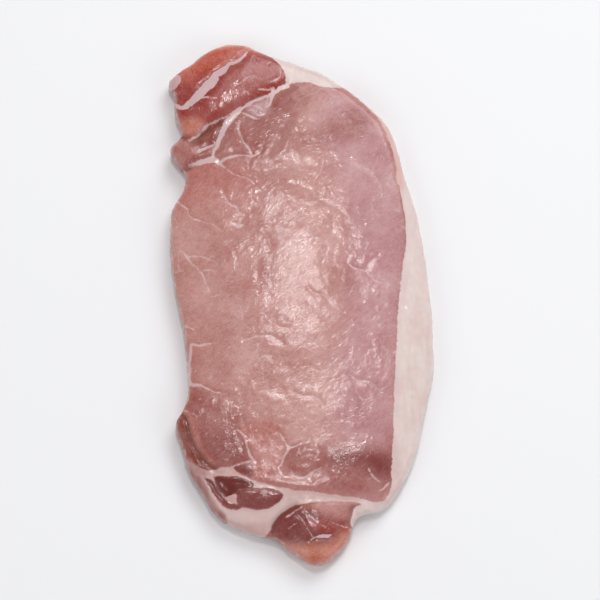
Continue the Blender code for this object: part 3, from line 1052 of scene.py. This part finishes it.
        # Painted shade: the sides take a share of the darker outside colour. The silver patches on them are
        # sheath, in the vein colour.
        *strokes, outer, silver = (
            add("Math", pair, operation="MULTIPLY")
            for pair in (*((share, fatness) for share in shares), (wall, 0.35), (patches, wall))
        )
        colour = painted(
            add, shaded, *((stroke, self.vein) for stroke in strokes), (glow, self.painted_rim_glow),
            (outer, self.outside), (silver, self.vein),
        )
        return colour, summed(add, strand, (hollow, -0.8), (speck, 0.9))

    def fat(self, add: Adder, place: Socket) -> tuple[Socket, Socket]:
        """Colour the fat: blushed beside the lean, in soft lobules and long strands.

        Args:
            add: Adds a node.
            place: The surface's place.

        Returns:
            The fat's colour and its height.
        """
        tone = add("Attribute", {}, "Color", attribute_name="fat_colour")
        inward = add("Attribute", {}, "Fac", attribute_name="body_depth")
        lengthwise = add("VectorMath", (place, (0.7, 0.1, 0.5)), operation="MULTIPLY")
        strand = add("TexNoise", {"Vector": lengthwise, "Scale": 1.0, "Detail": 5.0, "Roughness": 0.55})
        lobules = add(
            "TexVoronoi", {"Vector": place, "Scale": 1 / self.lobule_width, "Smoothness": 0.6},
            feature="SMOOTH_F1",
        )
        cloud = add("TexNoise", {"Vector": place, "Scale": self.clouds_per_mm, "Detail": 3.0})
        soft = add("Mix", {0: 0.5, 2: strand, 3: cloud})
        pinker = add("MapRange", (soft, 0.42, 0.62, 0.0, 0.3), **SMOOTH)
        pinked = painted(add, tone, (pinker, self.blush))
        value = add("MapRange", (lobules, 0.0, 0.8, 1.03, 0.96))
        shaded = add("HueSaturation", {"Color": pinked, "Value": value})
        beside_lean = add("MapRange", (inward, 0.0, 2.6, 0.25, 0.0), **SMOOTH)
        colour = painted(add, shaded, (beside_lean, self.vein))
        return colour, add("Math", (strand, lobules), operation="SUBTRACT")


SOFTBOXES = (
    ("key_softbox", (0.3, 0.55, 0.75), (0.5, 0.5), 4.2),
    ("sheen_softbox", (0.008, 0.165, 0.8), (0.035, 0.15), 1.4),
    ("back_softbox", (-0.5, 0.5, 0.34), (0.1, 0.06), 0.14),
    ("fill_softbox", (-0.6, -0.35, 0.6), (0.7, 0.7), 2.2),
    ("rim_softbox", (0.55, -0.3, 0.45), (0.4, 0.4), 1.1),
)


@dataclass(frozen=True)
class Studio:
    """A pale floor, soft lights and a camera that looks almost straight down, in metres."""

    floor_colour: str = "#eeeef0"
    sky_colour: str = "#f4f5f7"
    floor_side: float = 8.0
    floor_gap: float = 0.02 * MM
    elevation: float = 79.0
    camera_distance: float = 0.66
    lens: float = 148.0

    def floor(self) -> Object:
        """Lay the floor just under the chop; far from it the board glows like the sky.

        Returns:
            The floor, marked as stage.
        """
        bpy.ops.object.select_all(action="DESELECT")
        bpy.ops.mesh.primitive_plane_add(size=self.floor_side, location=(0, 0, -self.floor_gap))
        floor = bpy.context.object
        floor.name = "studio_floor"
        material = bpy.data.materials.new("matte_white_board")
        material.use_nodes = True
        tree = material.node_tree
        shader = tree.nodes["Principled BSDF"]
        shader.inputs["Base Color"].default_value = linear_colour(self.floor_colour)
        shader.inputs["Roughness"].default_value = 0.7
        shader.inputs["Emission Color"].default_value = linear_colour(self.sky_colour)
        spot = add_node(tree, "TexCoord", {}, "Object")
        away = add_node(tree, "VectorMath", (spot,), "Value", operation="LENGTH")
        glow = add_node(tree, "MapRange", (away, 0.3, 1.6, 0.0, 0.5), **SMOOTH)
        tree.links.new(glow, shader.inputs["Emission Strength"])
        floor.data.materials.append(material)
        floor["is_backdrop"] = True
        return floor

    def light(self, name: str, place: Triple, size: Place, power: float) -> None:
        """Hang a softbox that faces the chop.

        Args:
            name: The light's name.
            place: Where it hangs, in metres.
            size: Its width and length, in metres.
            power: Its power, in watts.
        """
        lamp = bpy.data.lights.new(name, "AREA")
        lamp.shape = "RECTANGLE"
        lamp.size, lamp.size_y = size
        lamp.energy = power
        holder = bpy.data.objects.new(name, lamp)
        holder.location = place
        holder.rotation_euler = (-Vector(place)).to_track_quat("-Z", "Y").to_euler()
        bpy.context.collection.objects.link(holder)

    def lights(self) -> None:
        """Hang the softboxes and set the pale surroundings."""
        for softbox in SOFTBOXES:
            self.light(*softbox)
        world = bpy.data.worlds.new("pale_surroundings")
        world.use_nodes = True
        tree = world.node_tree
        direction = add_node(tree, "TexCoord", {}, "Generated")
        up = add_node(tree, "SeparateXYZ", (direction,), "Z")
        strength = add_node(tree, "MapRange", (up, 0.05, 0.4, 0.8, 0.28), **SMOOTH)
        sky = tree.nodes["Background"]
        sky.inputs["Color"].default_value = linear_colour(self.sky_colour)
        tree.links.new(strength, sky.inputs["Strength"])
        bpy.context.scene.world = world

    def camera(self) -> Object:
        """Set up the camera, aimed at the middle of the chop.

        Returns:
            The camera.
        """
        low, high = (Vector(corner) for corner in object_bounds())
        target = (low + high) / 2
        tilt = math.radians(self.elevation)
        back = Vector((0.0, -math.cos(tilt), math.sin(tilt)))
        data = bpy.data.cameras.new("view")
        data.lens = self.lens
        data.clip_start = 0.01
        camera = bpy.data.objects.new("view", data)
        camera.location = target + back * self.camera_distance
        camera.rotation_euler = (-back).to_track_quat("-Z", "Y").to_euler()
        bpy.context.collection.objects.link(camera)
        bpy.context.scene.camera = camera
        return camera


def main() -> None:
    """Build the chop's skin, dress it, and set the studio round it."""
    logging.basicConfig(level=logging.INFO, format="%(name)s: %(message)s")
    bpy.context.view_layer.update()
    cut = CutFace(
        MUSCLES, FAT_ZONES, (LOWER_FAT, UPPER_FAT), FAT_NODULES, FAT_SEAMS, VEINS, GROOVES
    )
    meat = ChopSkin("pork_chop", cut).build()
    meat.data.materials.append(RawPorkFinish().build())
    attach(meat, "root")
    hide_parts("pork_chop")
    LOG.info("%s: %d points, %d faces", meat.name, len(meat.data.vertices), len(meat.data.polygons))
    studio = Studio()
    LOG.info("stage: %s", studio.floor().name)
    studio.lights()
    LOG.info("camera: %s", studio.camera().name)
    bpy.context.scene.view_settings.view_transform = "Standard"


if __name__ == "__main__":
    main()
